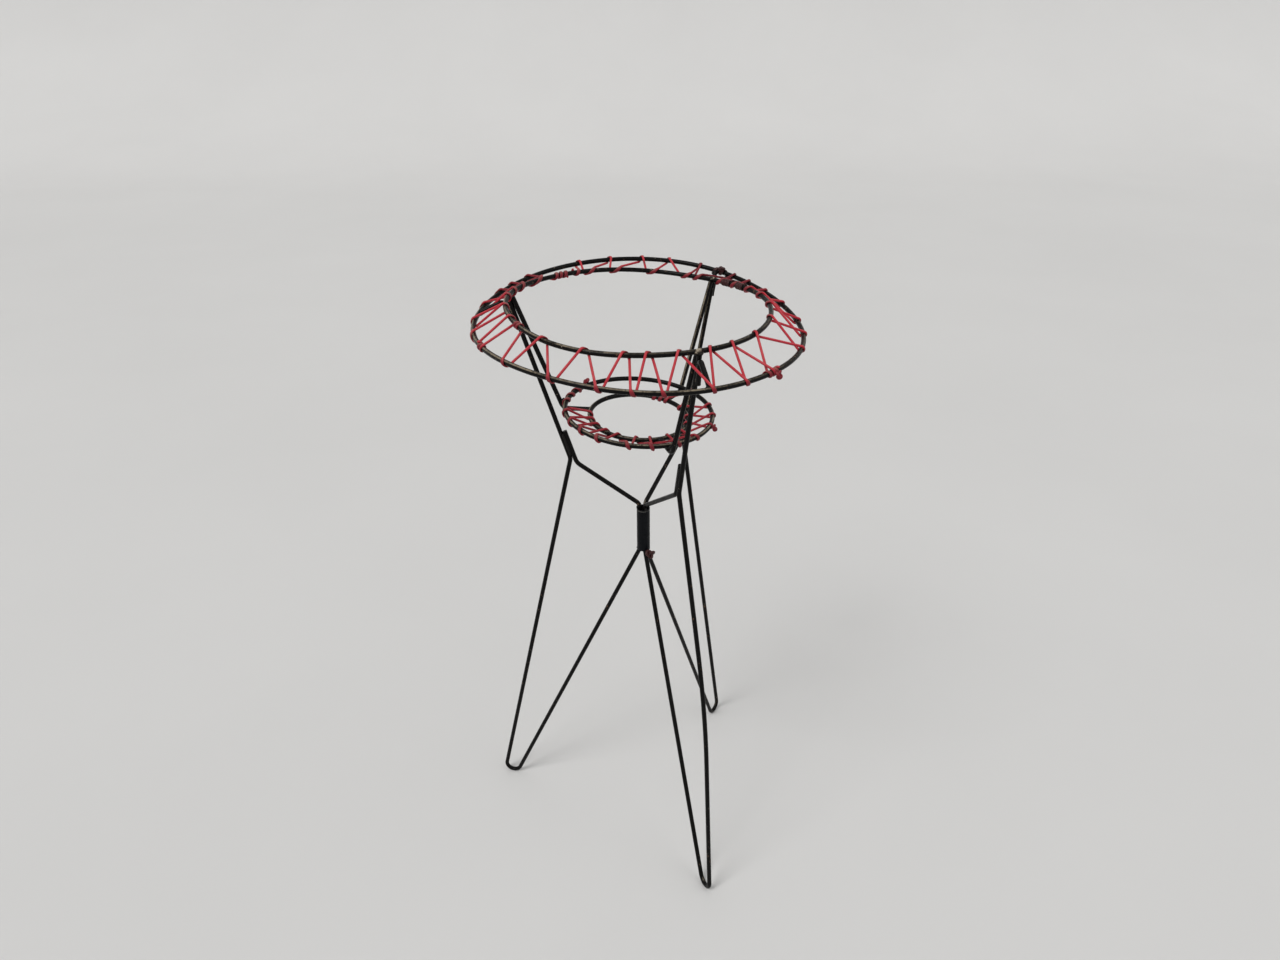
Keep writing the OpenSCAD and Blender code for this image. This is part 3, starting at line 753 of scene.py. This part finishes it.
def sleeve_finish(colours):
    """Thicker black paint on the sleeve, worn to a pale line just below its upper rim."""
    f = paint_finish("sleeve_paint", colours, 0.25, 0.2, colours.sleeve)
    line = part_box("leg_sleeve")[1].z - 1.7 * MM
    distance = f.maths("ABSOLUTE", f.maths("SUBTRACT", f.split(f.place)["Z"], line), 0)
    worn = f.times(f.between(distance, 0.35 * MM, 0.6 * MM, 0.8, 0), f.pattern(200, 0.4, 0.55, 3))
    f.colour(f.surface["Base Color"].links[0].from_socket, (worn, colours.rim))
    return f


def weld_finish(name, colours, worn):
    """Weld metal under paint: rough, with brown and cream where the paint has gone. worn
    is the share of its upper side that shows them."""
    f = Finish(name)
    bare = f.times(f.pattern(190, 0.74 - 0.3 * worn, 0.88 - 0.32 * worn, 4, 0.6),
                   f.upward(-0.3, 0.6))
    pale = f.times(f.pattern(280, 0.48, 0.6, 3, 0.5), bare)
    f.colour(colours.weld, (bare, colours.worn_and_lit_paint), (pale, colours.fleck))
    f.gloss(0.4, 0.15)
    f.bumped(f.noise(f.place, 900, 3), 0.25 * MM)
    return f


def cord_finish(name, colours, dirt, deep_and_shade=0.0):
    """Plastic cord on its own UV: fine drawn lines along it, a tone that changes along its
    length, paler where it faces up, partly a fade and partly a painted highlight, and
    darkened by painted shade where it is pressed to a rod, at the back on the right and
    beside the left leg. dirt is the share of it that is dark with dirt. The last argument
    is the least share of the dark red everywhere: painted shade on the tray's cord, and a
    deeper red on the knots and the old cord."""
    f = Finish(name)
    uv, sides = f.coordinates["UV"], f.split(f.place)
    press = f.node("Attribute", attribute_name="press")["Fac"]
    tone = f.between(f.noise(f.stretched(uv, (30, 0, 0)), 1, 2), 0.35, 0.65)
    # Paler where the cord faces up: partly a fade, partly a painted highlight
    fade_and_highlight = f.times(f.upward(0.1, 1.0), tone)
    # Painted shade where the cord lies in the shade: at the back on the right, and beside the
    # left leg
    right = f.times(f.between(sides["Y"], 0.055, 0.115),
                    f.between(sides["X"], 0.04, 0.07, deep_and_shade, 0.97))
    left = f.times(f.between(sides["Y"], 0.035, 0.055),
                   f.between(sides["X"], -0.098, -0.112, 0, 0.75))
    # Painted shade: the dark red covers the cord at those places and where it is pressed to a
    # rod, and covers at least the last argument's share of it all over
    shade = f.maths("MAXIMUM", right, left, deep_and_shade, f.times(press, 0.85))
    dust = f.times(press, f.upward(0.35, 1.0), tone, 1 - deep_and_shade)
    grime = f.pattern(120, 0.76 - 0.45 * dirt, 0.92 - 0.4 * dirt, 5, 0.65)
    f.colour(colours.cord, (fade_and_highlight, colours.cord_faded_and_lit), (shade, colours.cord_deep_and_shaded),
             (dust, colours.cord_dusty), (grime, colours.cord_dirty))
    f.gloss(f.pattern(300, 0.3, 0.7, 3, start=0.3, end=0.5), 0.22)
    f.bumped(f.noise(f.stretched(uv, (60, 2600, 1)), 1, 3), 0.12 * MM)
    return f


def floor_finish(colour):
    """Plain matt floor, a little uneven in tone."""
    f = Finish("pale_floor")
    f.colour([0.97 * c for c in colour], (f.pattern(1.3, 0.3, 0.7), colour))
    f.gloss(0.85, 0.2)
    return f


def use_finish(node, finish):
    """Puts a finish on all of a CAD node's material slots."""
    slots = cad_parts[node].material_slots
    if not len(slots):
        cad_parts[node].data.materials.append(finish.material)
    for place in slots:
        place.material = finish.material


# ---- Pieces ----


class StandPiece:
    """What the operators of this stand share"""

    bl_options = {"REGISTER", "UNDO"}

    def settings(self, context):
        """Sizes and colours of the open scene."""
        return context.scene.stand_sizes, context.scene.stand_colours

    def top_lacing(self, sizes):
        """Lacing between the collar and the brim."""
        return Lacing(Ring("collar_ring", sizes.collar_step, sizes.collar_slack),
                      Ring("brim_ring", sizes.brim_step), sizes)


class STAND_OT_stage(bpy.types.Operator):
    """Makes the floor, the lights and the camera"""

    bl_idname = "stand.stage"
    bl_label = "Stage"

    def execute(self, context):
        stage = context.scene.stand_stage
        context.scene.view_settings.view_transform = "Standard"
        self.make_floor(stage)
        self.make_lights(context)
        self.make_camera(context, stage)
        return {"FINISHED"}

    def make_floor(self, stage):
        """A wide floor that curves up into a backdrop: straight, then a quarter round."""
        width, depth, bend, height = 16.0, 7.0, 2.5, 9.0
        arc = np.linspace(0, math.pi / 2, 25)
        y = np.r_[-depth, depth - bend + bend * np.sin(arc), depth]
        z = np.r_[0, bend - bend * np.cos(arc), height]
        points = np.vstack([np.stack([np.full_like(y, x), y, z], 1) for x in (-width, width)])
        n = len(y)
        k = np.arange(n - 1)
        faces = np.stack([k, k + n, k + n + 1, k + 1], 1)
        floor = add_mesh("floor", points, faces.tolist(), floor_finish(stage.floor))

    def make_lights(self, context):
        """Three soft suns, the strongest above on the left, and pale air. Each has a way
        that it shines, a spread in degrees and a power."""
        for name, way, spread, power in (
                ("key_light", (0.5, 0.5, -0.9), 24, 1.55),
                ("fill_light", (-0.7, 0.35, -0.7), 50, 0.5),
                ("back_light", (0.1, -0.7, -0.8), 40, 0.4)):
            lamp = bpy.data.lights.new(name, "SUN")
            lamp.energy = power
            lamp.angle = math.radians(spread)
            light = bpy.data.objects.new(name, lamp)
            light.matrix_world = aim(-2 * np.array(way), way)
            context.scene.collection.objects.link(light)
        world = bpy.data.worlds.new("pale_air")
        world.use_nodes = True
        self.fill_air(Shading(world.node_tree))
        context.scene.world = world

    def fill_air(self, air, lit=0.4, seen=0.64):
        """White air that lights the stand, and that the camera, gloss and glass see about
        as pale as the floor."""
        background = air.nodes["Background"].inputs
        background["Color"].default_value = (1, 1, 1, 1)
        rays = air.node("LightPath")
        looking = air.maths("MAXIMUM", rays["Is Camera Ray"], rays["Is Glossy Ray"],
                            rays["Is Transmission Ray"])
        air.link(air.between(looking, 0, 1, lit, seen), background["Strength"])

    def make_camera(self, context, stage):
        """The camera looks along +Y and down by its pitch, then leans by its roll."""
        camera = bpy.data.cameras.new("camera")
        camera.sensor_width = 36
        camera.lens = stage.lens
        camera.clip_end = 100
        eye = bpy.data.objects.new("camera", camera)
        turn = (Matrix.Rotation(math.pi / 2 - stage.pitch, 4, "X")
                @ Matrix.Rotation(stage.roll, 4, "Z"))
        eye.matrix_world = Matrix.Translation(stage.eye) @ turn
        context.scene.collection.objects.link(eye)
        context.scene.camera = eye


def aim(place, way):
    """A matrix at a place whose -Z looks along the way."""
    back = -unit(np.asarray(way, float))
    side = unit(np.cross([0, 0, 1], back))
    rows = np.eye(4)
    rows[:3] = np.stack([side, np.cross(back, side), back, place], 1)
    return Matrix(rows.tolist())


class STAND_OT_rods(StandPiece, bpy.types.Operator):
    """Paints the legs, hangers, struts and the tray's rings"""

    bl_idname = "stand.rods"
    bl_label = "Painted rods"

    # The rods at the back, and the way that their pale line faces: partly worn paint and partly a
    # painted highlight, turned towards the camera
    REAR = ("leg_rear", "hanger_rear")
    REAR_SIDE = (-0.6, -0.68, 0.42)

    def execute(self, context):
        _, colours = self.settings(context)
        tray = paint_finish("tray_paint", colours, 0.95, 0.6)
        rod = paint_finish("rod_paint", colours, 0.3, 0.5)
        rear = paint_finish("rear_rod_paint", colours, 1.0, 0.7, way=self.REAR_SIDE)
        for node in RODS:
            use_finish(node, rear if node in self.REAR else rod)
        for node in TRAY_RINGS:
            use_finish(node, tray)
        use_finish("leg_sleeve", sleeve_finish(colours))
        return {"FINISHED"}


class STAND_OT_top_rings(StandPiece, bpy.types.Operator):
    """Makes the collar and the brim as smooth hand-bent rods"""

    bl_idname = "stand.top_rings"
    bl_label = "Collar and brim"

    def execute(self, context):
        sizes, colours = self.settings(context)
        turns = np.arange(0, 360, 0.5)
        # The rod's thickness strays by up to 2%, in two slow waves round the ring
        wander = (0.03 * np.sin(np.radians(7 * turns))
                  + 0.02 * np.sin(np.radians(17 * turns + 40)))
        radii = sizes.rod / 2 * (1 + 0.35 * wander)
        for name, node, fade in (("collar", "collar_ring", (-0.055, 0)),
                                 ("brim", "brim_ring", (0.055, 0.1))):
            ring = Ring(node)
            points, faces, _ = sweep(ring.centre(turns), ring.outward(turns), radii,
                                     sizes.ring_sides, closed=True)
            paint = paint_finish(name + "_paint", colours, 0.9, 0.6, fade=fade)
            piece = add_piece(name, points, faces, paint, "painted_rod")
            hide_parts(node)
        return {"FINISHED"}


class STAND_OT_welds(StandPiece, bpy.types.Operator):
    """Makes the weld metal at the collar, brim, tray, knees and sleeve"""

    bl_idname = "stand.welds"
    bl_label = "Welds"

    def execute(self, context):
        _, colours = self.settings(context)
        worn = weld_finish("weld_worn", colours, 1.0)
        painted = weld_finish("weld_painted", colours, 0.1)
        for name, node, make, finish in (
                ("collar_weld_metal", "collar_welds", self.collar, worn),
                ("brim_weld_metal", "brim_welds", self.brim, painted),
                ("tray_weld_metal", "tray_welds", self.tray, painted),
                ("knee_weld_metal", "knee_welds", self.knees, painted),
                ("sleeve_weld_metal", "sleeve_welds", self.sleeve, painted)):
            piece = add_piece(name, *join(make(beads_of(node))), finish, "weld")
            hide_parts(node)
        return {"FINISHED"}

    def collar(self, beads):
        """A lump under the collar at each leg with a smaller one on top of it, and a seam
        along each strut's tail."""
        shapes = []
        for leg, middle, axes, others in largest(beads):
            tail = np.vstack([beads.points[k] for k in others])
            shapes += [
                lump(middle, (3.1, 3.3, 5.2), axes, 10 + leg),
                lump(middle + np.array([0, -1.2, 2.0]) * MM, (2.7, 2.8, 3.8), axes, 20 + leg),
                seam(*long_axis(tail, 1.6 * MM), 1.75 * MM, 30 + leg)]
        return shapes

    def brim(self, beads):
        """One lump under the brim at each strut's end."""
        return [lump(middle, (2.9, 3.0, 4.1), rod_axes(round_stand(middle)), 40 + k)
                for k, middle in enumerate(beads.middles)]

    def tray(self, beads):
        """A lump at the end of each hanger, and one along its seam with the larger ring."""
        shapes = []
        for leg, middle, axes, others in largest(beads):
            shapes += [
                lump(middle, (2.6, 2.7, 3.7), axes, 50 + leg),
                lump(beads.middles[others].mean(0), (2.0, 2.1, 4.0), axes, 60 + leg)]
        return shapes

    def knees(self, beads):
        """A seam down each side of each knee, where the leg's end lies along its upright."""
        shapes = []
        for leg, group in enumerate(in_threes(beads.middles)):
            points = beads.middles[group]
            across = round_stand(points.mean(0))
            for side in (-1, 1):
                row = points[np.sign((points - points.mean(0)) @ across) == side]
                row = row[np.argsort(row[:, 2])]
                radius = beads.radii[group[0]] * 0.92
                shapes.append(seam(row[0], row[-1], radius, 70 + 2 * leg + side))
        return shapes

    def sleeve(self, beads):
        """A small lump on each rod at both ends of the sleeve."""
        return [lump(middle, (1.5, 1.6, 1.9), np.eye(3), 90 + k)
                for k, middle in enumerate(beads.middles)]


class STAND_OT_brim_lacing(StandPiece, bpy.types.Operator):
    """Laces the three cords between the collar and the brim"""

    bl_idname = "stand.brim_lacing"
    bl_label = "Brim lacing"

    # Where each cord turns round the collar and the brim, in degrees from the right: a
    # turn's middle, or where it arrives and where it leaves
    LEFT_COLLAR = [(141, 149.5), (155.5, 160), (165, 167.5), (174.8, 176.3), (188.8, 191.2),
                   (203, 206)]
    LEFT_BRIM = [147.5, (153.5, 158.5), (166, 171), (180.5, 182.7), (193.5, 199)]
    FRONT_COLLAR = [229.5, 249, 265, 274, 286.2, 299.6, 310.6]
    FRONT_BRIM = [242, 257.5, 268, 277.3, 293, 305.2]
    RIGHT_COLLAR = [326, 346, 3, 17, 28, 38, 47, 60, 66, 83, 101, 114]
    RIGHT_BRIM = [342, 356, 8, 23, 34, 43, 50, 65, 78, 89, 102, 115]

    def execute(self, context):
        sizes, colours = self.settings(context)
        plastic = cord_finish("plastic_cord", colours, 0.3)
        lacing = self.top_lacing(sizes)
        collar, brim = lacing.inner, lacing.outer
        cords = {
            "left": [
                lacing.coil(collar, 126, 134, 3), lacing.wrap(brim, 138.7),
                *lacing.zigzag(self.LEFT_COLLAR, self.LEFT_BRIM),
                lacing.tail(brim, 208.4, 204.2, 2)],
            "front": [
                lacing.coil(collar, 209.8, 213.8, 2), lacing.wrap(brim, 223),
                *lacing.zigzag(self.FRONT_COLLAR, self.FRONT_BRIM),
                lacing.tail(brim, 316.8, 319.8, 2)],
            "right": [
                lacing.coil(brim, 313.6, 316.1, 1),
                *lacing.zigzag(self.RIGHT_COLLAR, self.RIGHT_BRIM),
                lacing.tail(collar, 120, 123, 1)]}
        for side, rows in cords.items():
            cord_piece("brim_cord_" + side, rows, ["brim_lacing_" + side], plastic, sizes)
        return {"FINISHED"}


class STAND_OT_tray_lacing(StandPiece, bpy.types.Operator):
    """Laces the cord between the tray's two rings"""

    bl_idname = "stand.tray_lacing"
    bl_label = "Tray lacing"

    # Where the cord turns round the smaller and the larger ring, in degrees from the right
    INNER = [185, 200, 214, 231, 247, 268, 284, 306, 327, 348, 366, 390]
    OUTER = [192, 207, 222, 238, 262, 279, 300, 318, 341, 359, 376, 405]

    def execute(self, context):
        sizes, colours = self.settings(context)
        # The tray's cord lies under the top rings, so its colour carries painted shade all over
        plastic = cord_finish("plastic_cord_shaded", colours, 0.4, 0.45)
        lacing = Lacing(Ring("tray_inner_ring", sizes.tray_step),
                        Ring("tray_outer_ring", sizes.tray_step), sizes)
        rows = [lacing.coil(lacing.outer, 146, 177, 3), *lacing.zigzag(self.INNER, self.OUTER),
                lacing.tail(lacing.inner, 412, 436, 3)]
        cord_piece("tray_cord", rows, ["tray_lacing"], plastic, sizes)
        return {"FINISHED"}


class STAND_OT_knots(StandPiece, bpy.types.Operator):
    """Ties the knots at the cords' ends and the scrap of older cord at the sleeve"""

    bl_idname = "stand.knots"
    bl_label = "Knots"

    def execute(self, context):
        sizes, colours = self.settings(context)
        tight = cord_finish("knot_cord", colours, 0.55, 0.8)
        old = cord_finish("old_cord", colours, 1.35, 0.95)
        # Each knot's turn about X, Y and Z in degrees, its tails in millimetres, its girth
        for name, node, turn, tails, girth, finish in (
                ("brim_knot", "brim_lace_knot", (70, 0, 50), (0.8, 1.5), 1.0, tight),
                ("rear_knot", "rear_lace_knot", (80, 0, 150), (2, 3), 1.2, old),
                ("tray_knot_left", "tray_lace_knot_left", (60, 20, 230), (3, 2.5), 1.15, tight),
                ("tray_knot_right", "tray_lace_knot_right", (60, 20, 70), (1, 1.5), 1.05, tight),
                ("sleeve_scrap", "sleeve_lace_scrap", (90, 0, 0), (3, 1.5), 1.2, old)):
            knot_piece(name, node, turn, np.array(tails) * MM, girth, finish, sizes)
        self.old_wrap(sizes, old)
        return {"FINISHED"}

    def old_wrap(self, sizes, old):
        """An end of older cord wound round brim and collar beside the knot at the back."""
        lacing = self.top_lacing(sizes)
        rows = [lacing.coil(lacing.outer, 58.5, 53, 2), lacing.tail(lacing.inner, 45.4, 40.2, 3),
                lacing.tail(lacing.inner, 36.2, 31.2, 3)]
        cord_piece("old_wrap", rows, [], old, sizes)


class STAND_PT_panel(bpy.types.Panel):
    """Lists the stand's pieces in the sidebar"""

    bl_idname = "STAND_PT_panel"
    bl_label = "Plant Stand"
    bl_space_type = "VIEW_3D"
    bl_region_type = "UI"
    bl_category = "Plant Stand"

    def draw(self, context):
        for name, group in GROUPS.items():
            box = self.layout.box()
            for setting in group.__annotations__:
                box.prop(getattr(context.scene, name), setting)
        for operator in OPERATORS:
            self.layout.operator(operator.bl_idname)


GROUPS = {
    "stand_sizes": StandSizes, "stand_colours": StandColours, "stand_stage": StandStage,
}
OPERATORS = (
    STAND_OT_stage, STAND_OT_rods, STAND_OT_top_rings, STAND_OT_welds,
    STAND_OT_brim_lacing, STAND_OT_tray_lacing, STAND_OT_knots,
)
CLASSES = (*GROUPS.values(), *OPERATORS, STAND_PT_panel)


def register():
    for cls in CLASSES:
        bpy.utils.register_class(cls)
    for name, group in GROUPS.items():
        setattr(bpy.types.Scene, name, bpy.props.PointerProperty(type=group))


def unregister():
    for name in GROUPS:
        delattr(bpy.types.Scene, name)
    for cls in reversed(CLASSES):
        bpy.utils.unregister_class(cls)


def main():
    """Makes every piece in order."""
    register()
    bpy.ops.stand.stage()
    bpy.ops.stand.rods()
    bpy.ops.stand.top_rings()
    bpy.ops.stand.welds()
    bpy.ops.stand.brim_lacing()
    bpy.ops.stand.tray_lacing()
    bpy.ops.stand.knots()


if __name__ == "__main__":
    main()
